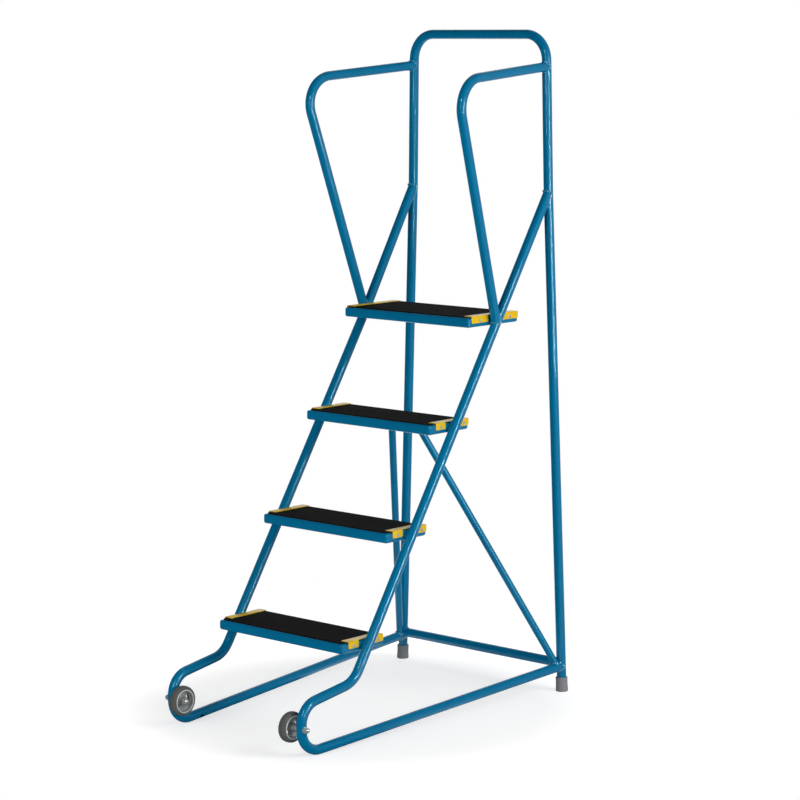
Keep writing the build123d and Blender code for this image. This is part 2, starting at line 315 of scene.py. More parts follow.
@dataclass(frozen=True)
class Rubber(Finish):
    """Moulded rubber: matt, slightly mottled, with a fine grain from the mould."""

    colour: str
    mottle_colour: str
    roughness: float
    specular: float = 0.3
    mottle_mm: float = 9.0
    grain_mm: float = 0.8
    grain_depth_mm: float = 0.1
    grain_strength: float = 0.4

    def fill(self, tree: NodeTree) -> None:
        """Add the finish's nodes."""
        principled(tree, {
            "Base Color": shade(tree, noise(tree, self.mottle_mm, 4.0), self.colour, self.mottle_colour),
            "Roughness": self.roughness, "Specular IOR Level": self.specular,
            "Normal": relief(tree, noise(tree, self.grain_mm), self.grain_strength, self.grain_depth_mm)})


@dataclass(frozen=True)
class ZincPlate(Finish):
    """Electroplated zinc on steel: a pale grey metal, bright on turned faces and duller on pressed ones.

    The passivated film over the plate scatters part of the light, so the metal share is below one. On the
    rim, the web's darker colour is painted shade and the lip's paler colour is painted light.
    """

    colour: str
    dull_colour: str
    roughness: float
    metal_share: float
    cloud_mm: float = 6.0
    roughness_spread: float = 0.2

    def fill(self, tree: NodeTree) -> None:
        """Add the finish's nodes."""
        cloud = noise(tree, self.cloud_mm, 5.0)
        rough = add_node(tree, "MapRange", inputs={
            "Value": cloud, "To Min": self.roughness * (1 - self.roughness_spread),
            "To Max": self.roughness * (1 + self.roughness_spread)})
        principled(tree, {
            "Base Color": shade(tree, cloud, self.colour, self.dull_colour),
            "Metallic": self.metal_share, "Roughness": rough.outputs[0]})


@dataclass(frozen=True)
class PaintedShadeBore(Finish):
    """Painted shade for the unlit inside of a tube seen through a drain hole: near black with a little rust.
    """

    name: str = "tube_inside_painted_shade"
    colour: str = "050505"
    rust_colour: str = "120B07"
    rust_mm: float = 2.0

    def fill(self, tree: NodeTree) -> None:
        """Add the finish's nodes."""
        principled(tree, {
            "Base Color": shade(tree, noise(tree, self.rust_mm), self.colour, self.rust_colour),
            "Roughness": 1.0, "Specular IOR Level": 0.0})


@dataclass(frozen=True)
class StudioWalls:
    """The brightness of the studio round the steps, dark to the camera's left and pale to its right.

    Each stop is a bearing in degrees, from plus X towards plus Y, and the brightness there.
    """

    stops: tuple[tuple[float, float], ...] = (
        (-180.0, 0.04), (-42.0, 0.04), (-10.0, 0.7), (22.0, 0.75), (38.0, 0.4), (75.0, 0.35), (100.0, 0.5),
        (122.0, 1.2), (150.0, 1.1), (165.0, 0.06), (180.0, 0.04),
    )

    def brightness(self, tree: NodeTree, direction: NodeSocket) -> NodeSocket:
        """Add the nodes that look up the brightness.

        Args:
            tree: The tree to add them to.
            direction: A vector that points from the steps to the wall.

        Returns:
            The brightness.
        """
        parts = add_node(tree, "SeparateXYZ", inputs={0: direction})
        bearing = math_node(tree, "ARCTAN2", parts.outputs["Y"], parts.outputs["X"])
        share = add_node(tree, "MapRange", inputs={
            "Value": bearing, "From Min": -math.pi, "From Max": math.pi})
        ramp = add_node(tree, "ValToRGB", inputs={0: share.outputs[0]})
        elements = ramp.color_ramp.elements
        while len(elements) < len(self.stops):
            elements.new(0.5)
        for element, (degrees, brightness) in zip(elements, self.stops):
            element.position = (degrees + 180) / 360
            element.color = (brightness, brightness, brightness, 1.0)
        return ramp.outputs[0]


@dataclass(frozen=True)
class StudioFloor(Finish):
    """White floor that shows as white, with the steps' soft shadows near them.

    In the steps' glossy coat it takes the brightness of the wall behind it.
    """

    name: str = "studio_floor"
    colour: str = "F4F4F4"
    near_radius: float = 0.45
    far_radius: float = 1.0
    near_share: float = 0.7
    shadow_lift: float = 1.55
    mirror_share: float = 1.1

    def fill(self, tree: NodeTree) -> None:
        """Add the finish's nodes."""
        ray = add_node(tree, "LightPath")
        in_mirror = ray.outputs["Is Glossy Ray"]
        seen = math_node(tree, "MAXIMUM", ray.outputs["Is Camera Ray"], ray.outputs["Is Transmission Ray"])
        place = add_node(tree, "TexCoord").outputs["Object"]
        reach = add_node(tree, "VectorMath", {"operation": "LENGTH"}, {0: place})
        lit_share = add_node(tree, "MapRange", {"interpolation_type": "SMOOTHSTEP"}, {
            "Value": reach.outputs["Value"], "From Min": self.near_radius, "From Max": self.far_radius,
            "To Min": self.near_share, "To Max": 0.0}).outputs[0]
        white_share = math_node(tree, "MULTIPLY", seen, math_node(tree, "SUBTRACT", 1.0, lit_share))
        seen_strength = math_node(tree, "MULTIPLY_ADD", lit_share, self.shadow_lift, 1.0)
        mirror_strength = math_node(
            tree, "MULTIPLY", StudioWalls().brightness(tree, place), self.mirror_share)
        strength = add_node(tree, "Mix", {"data_type": "FLOAT"}, {
            0: in_mirror, 2: seen_strength, 3: mirror_strength})
        lit = add_node(tree, "BsdfDiffuse", inputs={"Color": linear(self.colour)})
        white = add_node(tree, "Emission", inputs={
            "Color": linear("FFFFFF"), "Strength": strength.outputs[0]})
        mix = add_node(tree, "MixShader", inputs={
            0: math_node(tree, "MAXIMUM", white_share, in_mirror), 1: lit.outputs[0], 2: white.outputs[0]})
        add_node(tree, "OutputMaterial", inputs={"Surface": mix.outputs[0]})


def clear_selection() -> None:
    """Leave edit mode and deselect everything."""
    if bpy.context.object is not None and bpy.context.object.mode != "OBJECT":
        bpy.ops.object.mode_set(mode="OBJECT")
    bpy.ops.object.select_all(action="DESELECT")


def activate(piece: Object) -> None:
    """Select one object and make it the active one.

    Args:
        piece: The object.
    """
    clear_selection()
    piece.select_set(True)
    bpy.context.view_layer.objects.active = piece


@contextmanager
def editing(piece: Object, select: str | None = "SELECT") -> Iterator[None]:
    """Open a piece in edit mode, and close it after.

    Args:
        piece: The piece.
        select: SELECT or DESELECT all of it first, or None to keep what is selected.
    """
    activate(piece)
    bpy.ops.object.mode_set(mode="EDIT")
    if select is not None:
        bpy.ops.mesh.select_all(action=select)
    yield
    bpy.ops.object.mode_set(mode="OBJECT")


def pick(piece: Object, kind: str, wanted: Callable[[Any], bool]) -> None:
    """Select some faces or edges of a piece only.

    Args:
        piece: The piece.
        kind: FACE or EDGE.
        wanted: Whether one of them is wanted.
    """
    with editing(piece, "DESELECT"):
        bpy.ops.mesh.select_mode(type=kind)
    for part in piece.data.polygons if kind == "FACE" else piece.data.edges:
        part.select = wanted(part)


def added(name: str) -> Object:
    """Name the object that an operator has just added.

    Args:
        name: The name for it and its mesh.

    Returns:
        The object.
    """
    piece = bpy.context.object
    piece.name = piece.data.name = name
    return piece


def trace(name: str, points_mm: Sequence[Sequence[float]], closed: bool = True) -> Object:
    """Draw an outline by extruding one vertex from point to point.

    Args:
        name: The object's name.
        points_mm: The outline's points, in millimetres.
        closed: Whether the outline ends where it starts.

    Returns:
        The outline, as edges only.
    """
    points = [Vector(point) * MM for point in points_mm]
    if closed:
        points.append(points[0])
    clear_selection()
    bpy.ops.mesh.primitive_plane_add(size=MM)
    outline = added(name)
    with editing(outline):
        bpy.ops.mesh.select_mode(type="VERT")
        bpy.ops.mesh.merge(type="CENTER")
        bpy.ops.transform.translate(value=points[0])
        for start, end in zip(points, points[1:]):
            bpy.ops.mesh.extrude_region_move(TRANSFORM_OT_translate={"value": end - start})
        bpy.ops.mesh.select_all(action="SELECT")
        bpy.ops.mesh.remove_doubles(threshold=MERGE_MM * MM)
    return outline


def lathe(name: str, profile_mm: Sequence[tuple[float, float]], steps: int) -> Object:
    """Turn a closed or axis to axis outline about the X axis.

    Args:
        name: The object's name.
        profile_mm: Points of the outline as (offset along X, radius), in millimetres.
        steps: How many steps the full turn takes.

    Returns:
        The closed solid, with its faces outwards.
    """
    ring = all(radius > 0 for _, radius in profile_mm)
    piece = trace(name, [(offset, 0.0, radius) for offset, radius in profile_mm], closed=ring)
    with editing(piece):
        bpy.ops.mesh.spin(steps=steps, angle=2 * math.pi, center=(0, 0, 0), axis=(1, 0, 0))
        bpy.ops.mesh.select_all(action="SELECT")
        bpy.ops.mesh.remove_doubles(threshold=MERGE_MM * MM)
        bpy.ops.mesh.normals_make_consistent(inside=False)
    return piece


def rod(
    name: str, radius_mm: float, length_mm: float, middle_mm: Vector, direction: Vector, vertices: int
) -> Object:
    """Add a plain round rod, to be cut.

    Args:
        name: The object's name.
        radius_mm: Its radius.
        length_mm: Its length.
        middle_mm: Its middle, in millimetres.
        direction: The direction of its axis.
        vertices: How many sides its circle has.

    Returns:
        The rod.
    """
    clear_selection()
    bpy.ops.mesh.primitive_cylinder_add(vertices=vertices, radius=radius_mm * MM, depth=length_mm * MM)
    piece = added(name)
    turn = direction.to_track_quat("Z", "Y").to_matrix().to_4x4()
    set_in_place(piece, Matrix.Translation(middle_mm * MM) @ turn)
    return piece


def apply_modifier(piece: Object, kind: str, **settings: Any) -> None:
    """Add a modifier to a piece and apply it.

    Args:
        piece: The piece.
        kind: The modifier's type.
        **settings: Values for its properties.
    """
    modifier = piece.modifiers.new(kind.lower(), kind)
    for name, value in settings.items():
        setattr(modifier, name, value)
    activate(piece)
    bpy.ops.object.modifier_apply(modifier=modifier.name)


def boolean(piece: Object, tool: Object, operation: str) -> None:
    """Cut a piece with a tool, or keep what they share, and remove the tool.

    Args:
        piece: The piece.
        tool: The other solid.
        operation: DIFFERENCE or INTERSECT.
    """
    apply_modifier(piece, "BOOLEAN", object=tool, operation=operation, solver="EXACT")
    bpy.data.objects.remove(tool)


def bevelled(piece: Object, width_mm: float, segments: int) -> None:
    """Round a piece's sharp edges with an applied Bevel modifier.

    Args:
        piece: The piece.
        width_mm: The width of the rounding.
        segments: How many faces it has.
    """
    apply_modifier(piece, "BEVEL", width=width_mm * MM, segments=segments, limit_method="ANGLE",
                   angle_limit=math.radians(40.0))


def smooth(piece: Object, angle_deg: float) -> None:
    """Shade a piece smooth across all but its sharp edges.

    Args:
        piece: The piece.
        angle_deg: Edges that turn more than this stay sharp.
    """
    activate(piece)
    bpy.ops.object.shade_smooth_by_angle(angle=math.radians(angle_deg))


def set_in_place(piece: Object, place: Matrix) -> None:
    """Move a piece's mesh to its place and leave its object at the origin.

    Args:
        piece: The piece.
        place: Where it goes.
    """
    piece.matrix_world = place
    activate(piece)
    bpy.ops.object.transform_apply(location=True, rotation=True, scale=True)


def copy_of(piece: Object, name: str, place: Matrix) -> Object:
    """Copy a piece with a mesh of its own and put the copy in its place.

    Args:
        piece: The pattern, which stays where it is.
        name: The copy's name.
        place: Where the copy goes, which may mirror it.

    Returns:
        The copy.
    """
    copy = piece.copy()
    copy.data = piece.data.copy()
    copy.name = copy.data.name = name
    bpy.context.scene.collection.objects.link(copy)
    copy.data.transform(place)
    if place.determinant() < 0:
        copy.data.flip_normals()
    return copy


def finish_piece(
    piece: Object, material: Material | None, body: str, replaces: Iterable[str] = ()
) -> None:
    """Give a new piece its finish, hang it on its body and hide the nodes that it stands for.

    Args:
        piece: The piece.
        material: Its finish, or None to leave the finishes that it was made with.
        body: The body that it moves with.
        replaces: The nodes that it stands for.
    """
    if material is not None:
        piece.data.materials.clear()
        piece.data.materials.append(material)
    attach(piece, body)
    if replaces:
        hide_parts(*replaces)
    log.info("made %s", piece.name)


def finish_both(right: Object, material: Material, replaces: Sequence[str] = ()) -> None:
    """Finish a right hand piece of the frame and the left hand one that mirrors it.

    The left hand piece is a copy of the finished one, and it hides the left hand nodes.

    Args:
        right: The right hand piece, whose name ends in right.
        material: Their finish.
        replaces: The right hand nodes that it stands for.
    """
    finish_piece(right, material, "frame", replaces)
    left = copy_of(right, right.name.replace("right", "left"), MIRROR)
    finish_piece(left, material, "frame", [name.replace("right", "left") for name in replaces])


def dress(nodes: Iterable[str], material: Material) -> None:
    """Give CAD nodes a finish.

    Args:
        nodes: The nodes' names.
        material: The finish that takes the place of their own.
    """
    for name in nodes:
        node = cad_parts[name]
        for slot in node.material_slots:
            slot.material = material
        log.info("dressed %s with %s", name, material.name)


def nodes_like(*starts: str) -> list[str]:
    """List the CAD nodes of some kinds.

    Args:
        *starts: What the nodes' names start with.

    Returns:
        The nodes' names, in order.
    """
    return sorted(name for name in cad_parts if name.startswith(starts))


@dataclass(frozen=True)
class Tube:
    """A straight run of round tube, by two points of its centreline in millimetres on the right side."""

    start: Point
    end: Point
    radius_mm: float = 12.7

    @property
    def direction(self) -> Vector:
        """The unit direction from start to end."""
        return (Vector(self.end) - Vector(self.start)).normalized()


@dataclass
class Tubework:
    """The welded blue frame: its finish, its weld beads and its drain holes.

    The centrelines are those of the model. Each joint is a branch tube that ends on a main tube.
    """

    leg: Tube = Tube((287.7, 478.5, 0.0), (238.1, 478.5, 1331.5))
    leg_above: Tube = Tube((238.1, 478.5, 1331.5), (230.4, 478.5, 1741.0))
    base_rail: Tube = Tube((229.0, -456.5, 9.1), (285.2, 478.5, 67.9))
    stringer: Tube = Tube((231.5, -273.0, 157.4), (231.5, 274.4, 1003.5))
    stringer_top: Tube = Tube((231.5, 274.4, 1003.5), (238.1, 478.5, 1331.5))
    handrail: Tube = Tube((268.0, 78.5, 1628.0), (232.0, 478.5, 1658.0))
    post: Tube = Tube((268.0, 78.5, 1628.0), (231.5, 274.4, 1003.5))
    cross_rail: Tube = Tube((0.0, 478.5, 75.4), (284.9, 478.5, 75.4))
    brace: Tube = Tube((39.0, 167.5, 749.5), (284.3, 463.5, 67.0), 9.5)
    bead_radius_mm: float = 3.0
    ripple_mm: float = 5.5
    ripple_swell: tuple[float, ...] = (1.2, 1.0, 0.6, 1.0)
    seam_tilt_deg: float = 57.1
    seam_offset_mm: float = 7.2
    seam_share: float = 0.8
    seam_proud_share: float = 0.35
    drain_from_loop_mm: float = 96.0
    drain_radius_mm: float = 7.0
    drain_below_level_deg: float = 38.0
    drain_rim_mm: float = 0.15

    def build(self, blue: Material) -> None:
        """Dress the tubes and add the beads and the holes.

        Args:
            blue: The powder coat.
        """
        dress(nodes_like("back_hoop", "side_frame", "handrail", "rear_cross_rail"), blue)
        soft = PowderCoat("gloss_powder_coat_on_braces", roughness=0.3, coat=0.0, peel_depth_mm=0.0)
        dress(nodes_like("brace"), soft.material())
        # The weld coat's blue is lighter than the tubes' as painted highlight on the beads, and it is
        # glossier.
        weld = PowderCoat("gloss_powder_coat_on_weld", colour="2898C2", thick_colour="1088B4",
                          sheen_tint="E0F4FF", roughness=0.2, specular=1.0, coat=1.0).material()
        joints = {
            "base_rail": (self.base_rail, self.leg),
            "stringer_top": (self.stringer_top, self.leg),
            "handrail": (self.handrail, self.leg_above),
            "post_foot": (self.post, self.stringer_top),
            "cross_rail": (self.cross_rail, self.leg),
            "brace_foot": (self.brace, self.base_rail),
        }
        for name, (branch, main) in joints.items():
            finish_both(self.bead(f"weld_{name}_right", self.saddle(branch, main)), weld)
        self.tread_seams(blue)
        self.drain_holes()

    def saddle(self, branch: Tube, main: Tube) -> list[Vector]:
        """Work out the line on which a branch tube's surface meets a main tube's.

        Args:
            branch: The tube that ends on the other.
            main: The tube that it ends on.

        Returns:
            Points of the closed line, in millimetres, spaced by the weld's ripple.
        """
        along, other = branch.direction, main.direction
        across = along.orthogonal().normalized()
        upright = along.cross(across)
        slope = along - other * along.dot(other)
        count = round(2 * math.pi * branch.radius_mm / self.ripple_mm) * len(self.ripple_swell)
        points = []
        for turn in (2 * math.pi * step / count for step in range(count)):
            radial = across * math.cos(turn) + upright * math.sin(turn)
            edge = Vector(branch.start) + radial * branch.radius_mm
            start = edge - Vector(main.start)
            level = start - other * start.dot(other)
            a, b = slope.dot(slope), level.dot(slope)
            c = level.dot(level) - main.radius_mm ** 2
            reach = (-b - math.sqrt(max(b * b - a * c, 0.0))) / a
            points.append(edge + along * reach)
        return points

    def bead(self, name: str, points_mm: Sequence[Vector], closed: bool = True) -> Object:
        """Lay a rippled bead of weld along a line.

        Args:
            name: The bead's name.
            points_mm: Points of the line, as many to a ripple as ripple_swell has.
            closed: Whether the line closes on itself.

        Returns:
            The bead as a mesh.
        """
        trace(name, points_mm, closed)
        bpy.ops.object.convert(target="CURVE")
        curve = bpy.context.object.data
        curve.bevel_depth = self.bead_radius_mm * MM
        curve.bevel_resolution = 2
        curve.use_fill_caps = not closed
        for number, point in enumerate(curve.splines[0].points):
            point.radius = self.ripple_swell[number % len(self.ripple_swell)]
        bpy.ops.object.convert(target="MESH")
        piece = bpy.context.object
        with editing(piece):
            bpy.ops.mesh.remove_doubles(threshold=5 * MERGE_MM * MM)
            bpy.ops.mesh.normals_make_consistent(inside=False)
        smooth(piece, 80.0)
        return piece

    def tread_seams(self, blue: Material) -> None:
        """Weld each tread's frame to the stringers, in front of and behind the tube.

        Args:
            blue: The powder coat.
        """
        tilt = math.radians(self.seam_tilt_deg)
        up_tube = Vector((0.0, math.cos(tilt), math.sin(tilt)))
        across = Vector((0.0, -math.sin(tilt), math.cos(tilt)))
        for number in range(1, TREAD_COUNT + 1):
            low, high = (Vector(corner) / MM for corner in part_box(f"tread_frame_{number}"))
            middle_z = (low.z + high.z) / 2
            rise = (middle_z - self.stringer.start[2]) / math.tan(tilt)
            middle = Vector((high.x + self.bead_radius_mm * self.seam_proud_share,
                             self.stringer.start[1] + rise, middle_z))
            half = (high.z - low.z) / 2 / math.sin(tilt) * self.seam_share
            steps = round(2 * half / self.ripple_mm) * len(self.ripple_swell)
            for word, sign in (("front", -1), ("rear", 1)):
                heart = middle - across * self.seam_offset_mm * sign
                points = [heart + up_tube * half * (2 * step / steps - 1) for step in range(steps + 1)]
                seam = self.bead(f"weld_tread_{number}_{word}_right", points, closed=False)
                finish_both(seam, blue)

    def drain_holes(self) -> None:
        """Add the drain hole low on the inner side of each base rail.

        Each is a near black disc laid on the rail's skin, painted shade in place of the unlit bore.
        """
        rail, radius = self.base_rail, self.drain_radius_mm
        heart = Vector(rail.start) + rail.direction * self.drain_from_loop_mm
        lean = math.radians(self.drain_below_level_deg)
        outward = Vector((-math.cos(lean), 0.0, -math.sin(lean)))
        # A near black disc on the rail's skin is painted shade where the hole's unlit bore would show.
        shade_disc = rod("drain_hole_right", radius, rail.radius_mm, heart + outward * rail.radius_mm, outward, 40)
        skin = rod("skin", rail.radius_mm + self.drain_rim_mm, 4 * radius, heart, rail.direction, 96)
        boolean(shade_disc, skin, "INTERSECT")
        bevelled(shade_disc, self.drain_rim_mm * 0.8, 1)
        smooth(shade_disc, 35.0)
        finish_both(shade_disc, PaintedShadeBore().material())


@dataclass
class Treads:
    """The four treads: blue frames, black boards, yellow edge angles and the angles' screws."""

    wall_mm: float = 1.5
    flange_mm: float = 26.0
    notch_mm: float = 53.2
    notch_depth_mm: float = 2.5
    tab_corner_mm: float = 4.0
    edge_round_mm: float = 0.55
    screw_radius_mm: float = 3.4
    screw_height_mm: float = 2.2
    screw_skirt_mm: float = 1.1
    screw_skirt_height_mm: float = 0.4
    recess_width_mm: float = 0.8
    recess_share: float = 1.1
    screw_above_tab_edge_mm: float = 6.5

    def build(self, blue: Material) -> None:
        """Dress the frames and boards and make the angles and screws.

        Args:
            blue: The powder coat.
        """
        dress(nodes_like("tread_frame"), blue)
        dress(nodes_like("tread_deck"), GritBoard().material())
        yellow = AnglePaint().material()
        bright = ZincPlate("zinc_plate_screw", "D8DADA", "BCBFBF", 0.3, 0.5).material()
        screw = self.screw_pattern()
        for number in range(1, TREAD_COUNT + 1):
            node = f"edge_angle_{number}_right"
            low, high = (Vector(corner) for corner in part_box(node))
            finish_both(self.angle(f"pressed_angle_{number}_right", low, high), yellow, [node])
            to_tab = (self.notch_mm * MM / 2 + (high.y - low.y) / 2) / 2
            for word, sign in (("front", -1), ("rear", 1)):
                spot = Vector((high.x, (low.y + high.y) / 2 + sign * to_tab,
                               low.z + self.screw_above_tab_edge_mm * MM))
                # No two screws stop at the same turn.
                turn = Matrix.Rotation(0.5 * number + sign, 4, "X")
                right = copy_of(screw, f"screw_{number}_{word}_right", Matrix.Translation(spot) @ turn)
                finish_both(right, bright)
        bpy.data.objects.remove(screw)

    def angle(self, name: str, low: Vector, high: Vector) -> Object:
        """Fold one right hand edge angle out of sheet, inside the box that the model's angle fills.

        Args:
            name: The piece's name.
            low: The lowest corner of the angle.
            high: The highest corner of the angle.

        Returns:
            The angle, with its edges rounded.
        """
        wall, half_notch, slack = self.wall_mm * MM, self.notch_mm * MM / 2, 0.1 * MM
        outer_x, top_z = high.x - wall / 2, high.z - wall / 2
        middle_y = (low.y + high.y) / 2
        width = self.flange_mm * MM - wall / 2
        notch_x = outer_x - self.notch_depth_mm * MM
        clear_selection()
        bpy.ops.mesh.primitive_plane_add(size=1.0)
        sheet = added(name)
        set_in_place(sheet, Matrix.Translation((outer_x - width / 2, middle_y, top_z))
                     @ Matrix.Diagonal((width, high.y - low.y, 1.0, 1.0)))
        with editing(sheet):
            for spot, normal in (
                ((0, middle_y - half_notch, 0), (0, 1, 0)),
                ((0, middle_y + half_notch, 0), (0, 1, 0)),
                ((notch_x, 0, 0), (1, 0, 0)),
            ):
                bpy.ops.mesh.select_all(action="SELECT")
                bpy.ops.mesh.bisect(plane_co=spot, plane_no=normal)
        pick(sheet, "FACE", lambda face: (
            face.center.x > notch_x and abs(face.center.y - middle_y) < half_notch))
        with editing(sheet, None):
            bpy.ops.mesh.delete(type="FACE")
        pick(sheet, "EDGE", lambda edge: all(
            sheet.data.vertices[end].co.x > outer_x - slack for end in edge.vertices))
        with editing(sheet, None):
            bpy.ops.mesh.extrude_region_move(TRANSFORM_OT_translate={"value": (0, 0, low.z - top_z)})
            bpy.ops.mesh.bevel(offset=self.tab_corner_mm * MM, segments=5, affect="VERTICES")
        apply_modifier(sheet, "SOLIDIFY", thickness=wall, offset=0.0, use_even_offset=True)
        with editing(sheet):
            bpy.ops.mesh.normals_make_consistent(inside=False)
        bevelled(sheet, self.edge_round_mm, 2)
        smooth(sheet, 30.0)
        return sheet

    def screw_pattern(self) -> Object:
        """Make one cross recess pan head screw, its seat at the origin and its head towards plus X."""
        radius, height, skirt = self.screw_radius_mm, self.screw_height_mm, self.screw_skirt_height_mm
        wide = radius + self.screw_skirt_mm
        dome = [(skirt + (height - skirt) * math.sin(turn), radius * (0.55 + 0.45 * math.cos(turn)))
                for turn in BALL_TURNS[1:]]
        screw = lathe("screw_pattern", [
            (-0.2, 0.0), (-0.2, wide), (0.0, wide), (skirt - 0.05, wide), (skirt, radius), *dome,
            (height, 0.0),
        ], 32)
        for turn in (0.0, math.pi / 2):
            clear_selection()
            bpy.ops.mesh.primitive_cube_add(size=1.0)
            blade = added("recess_blade")
            set_in_place(blade, Matrix.Rotation(turn, 4, "X") @ Matrix.Translation((height * MM, 0, 0))
                         @ Matrix.Diagonal((height * MM, radius * self.recess_share * MM,
                                            self.recess_width_mm * MM, 1.0)))
            boolean(screw, blade, "DIFFERENCE")
        smooth(screw, 40.0)
        return screw


@dataclass
class Ferrules:
    """The grey moulded rubber ferrules on the back legs."""

    foot: Tube = Tubework.leg
    height_mm: float = 38.0
    bottom_radius_mm: float = 16.5
    waist_radius_mm: float = 15.7
    lip_radius_mm: float = 16.1
    bore_radius_mm: float = 12.9
    lip_height_mm: float = 3.0

    def build(self) -> None:
        """Mould both ferrules and cut their bottoms level with the floor."""
        grey = Rubber("moulded_rubber_grey", "96989B", "8B8D90", 0.7).material()
        top, lip = self.height_mm, self.lip_height_mm
        bottom, waist, edge, bore = (
            self.bottom_radius_mm, self.waist_radius_mm, self.lip_radius_mm, self.bore_radius_mm)
        pattern = lathe("ferrule_pattern", [
            (-1.0, 0.0), (-1.0, bottom - 1.6), (0.3, bottom - 0.5), (1.6, bottom), (6.0, bottom - 0.1),
            (14.0, waist + 0.15), (22.0, waist), (30.0, waist + 0.1), (top - lip - 0.6, waist + 0.2),
            (top - lip, edge), (top - 0.9, edge + 0.05), (top - 0.2, edge - 0.5), (top, edge - 1.2),
            (top, bore + 0.4), (top - 0.5, bore), (top - 4.0, bore), (top - 4.0, 0.0),
        ], 64)
        smooth(pattern, 50.0)
        turn = self.foot.direction.to_track_quat("X", "Z").to_matrix().to_4x4()
        right = copy_of(pattern, "ferrule_right", Matrix.Translation(Vector(self.foot.start) * MM) @ turn)
        with editing(right):
            bpy.ops.mesh.bisect(plane_co=(0, 0, 0), plane_no=(0, 0, 1), clear_inner=True, use_fill=True,
                                threshold=0.001 * MM)
        finish_both(right, grey, ["rear_foot_right"])
        bpy.data.objects.remove(pattern)


@dataclass
class Wheels:
    """The two front wheels: ribbed rubber tyre, pressed and pierced rim, and the bright axle."""

    tyre_radius_mm: float = 38.5
    half_width_mm: float = 11.0
    shoulder_mm: float = 6.0
    rib_depth_mm: float = 0.7
    rim_radius_mm: float = 30.0
    rim_proud_mm: float = 1.0
    hub_radius_mm: float = 11.0
    hub_half_mm: float = 13.0
    bore_radius_mm: float = 4.15
    web_half_mm: float = 1.3
    opening_reach_mm: float = 19.25
    opening_half_mm: float = 4.5
    opening_spread_deg: float = 70.0
    bolt_radius_mm: float = 4.0
    bolt_head_radius_mm: float = 7.5
    bolt_head_height_mm: float = 6.0

    def build(self) -> None:
        """Make both wheels and dress the axle's fittings."""
        rubber = Rubber("tyre_rubber_grey", "686A67", "5C5E5B", 0.8).material()
        bright = ZincPlate("zinc_plate_turned", "DCDEDD", "C6C9C8", 0.28, 0.55).material()
        tyre, rim = self.tyre_pattern(), self.rim_pattern()
        for side in Side:
            low, high = (Vector(corner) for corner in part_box(f"tyre_{side.word}"))
            place = Matrix.Translation((low + high) / 2) @ Matrix.Scale(side.value, 4, (1, 0, 0))
            body = f"wheel_{side.word}"
            finish_piece(copy_of(tyre, f"ribbed_tyre_{side.word}", place), rubber, body,
                         [f"tyre_{side.word}"])
            finish_piece(copy_of(rim, f"pressed_rim_{side.word}", place), None, body,
                         [f"wheel_rim_{side.word}"])
            self.axle(side, bright)
        bpy.data.objects.remove(tyre)
        bpy.data.objects.remove(rim)
        dress(nodes_like("axle_spacer", "axle_nut"), bright)

    def tyre_pattern(self) -> Object:
        """Make one tyre with rounded shoulders and shallow ribs, centred on the origin."""
        outer, inner = self.tyre_radius_mm, self.rim_radius_mm
        half, bend = self.half_width_mm, self.shoulder_mm
        low = outer - self.rib_depth_mm
        crown = [(0.0, outer), (1.0, outer), (1.4, low), (2.0, low), (2.4, outer - 0.1), (4.2, outer - 0.35)]
        shoulder = [(half - bend + bend * math.sin(turn), outer - bend - 0.6 + bend * math.cos(turn))
                    for turn in BALL_TURNS]
        wall = [(half, outer - 8.0), (half - 0.5, inner + 0.9), (half - 0.9, inner)]
        side = crown + shoulder + wall
        tyre = lathe("tyre_pattern", side + [(-x, radius) for x, radius in reversed(side[1:])], 128)
        smooth(tyre, 40.0)
        return tyre

    def rim_pattern(self) -> Object:
        """Make one rim, centred on the origin: a rolled lip, a dished and pierced web and a hub.

        Returns:
            The rim. Its web is rougher than its lip and is painted darker, as painted shade in the dish,
            and its lip is painted paler, as painted light.
        """
        lip, web, hub, bore = self.rim_radius_mm, self.web_half_mm, self.hub_radius_mm, self.bore_radius_mm
        edge, end = self.half_width_mm + self.rim_proud_mm, self.hub_half_mm
        side = [
            (edge - 2.2, lip), (edge - 0.7, lip - 0.1), (edge - 0.1, lip - 0.6), (edge, lip - 1.2),
            (edge, lip - 2.6), (edge - 0.5, lip - 3.2), (edge - 1.4, lip - 3.4), (5.5, lip - 3.8),
            (3.0, lip - 4.6), (web + 0.4, lip - 6.0), (web, lip - 7.6), (web, hub + 3.2),
            (web + 0.6, hub + 1.2), (web + 2.4, hub + 0.1), (end - 3.5, hub - 0.9), (end - 1.0, hub - 1.5),
            (end, hub - 2.6), (end, bore),
        ]
        rim = lathe("rim_pattern", side + [(-x, radius) for x, radius in reversed(side)], 128)
        for turn in (0.0, math.pi):
            boolean(rim, self.opening_cutter(turn), "DIFFERENCE")
        smooth(rim, 35.0)
        # One pressed part: the web's darker colour is painted shade and the lip's paler colour painted light.
        rim.data.materials.append(ZincPlate("zinc_plate_web_painted_shade", "A2A6A5", "8E9291", 0.6, 0.15).material())
        rim.data.materials.append(ZincPlate("zinc_plate_lip_painted_light", "E8EBEA", "DADDDB", 0.4, 0.1).material())
        # Faces on the rolled lip take the painted light colour, and all others take the painted shade one.
        for face in rim.data.polygons:
            reach = math.hypot(face.center.y, face.center.z)
            face.material_index = int(reach > (lip - 3.3) * MM and abs(face.center.x) > (edge - 2.5) * MM)
        return rim

    def opening_cutter(self, middle_turn: float) -> Object:
        """Make the curved, round ended cutter for one opening of the web.

        Args:
            middle_turn: The angle of its middle about the axle, from plus Y.

        Returns:
            The cutter.
        """
        reach, half, depth = self.opening_reach_mm, self.opening_half_mm, 8.0
        spread = math.radians(self.opening_spread_deg) / 2
        arc = [spread * n / 8 for n in range(-8, 9)]

        def polar(radius: float, turn: float) -> Vector:
            """Turn a radius and an angle into a point."""
            return Vector((0.0, radius * math.cos(turn), radius * math.sin(turn)))

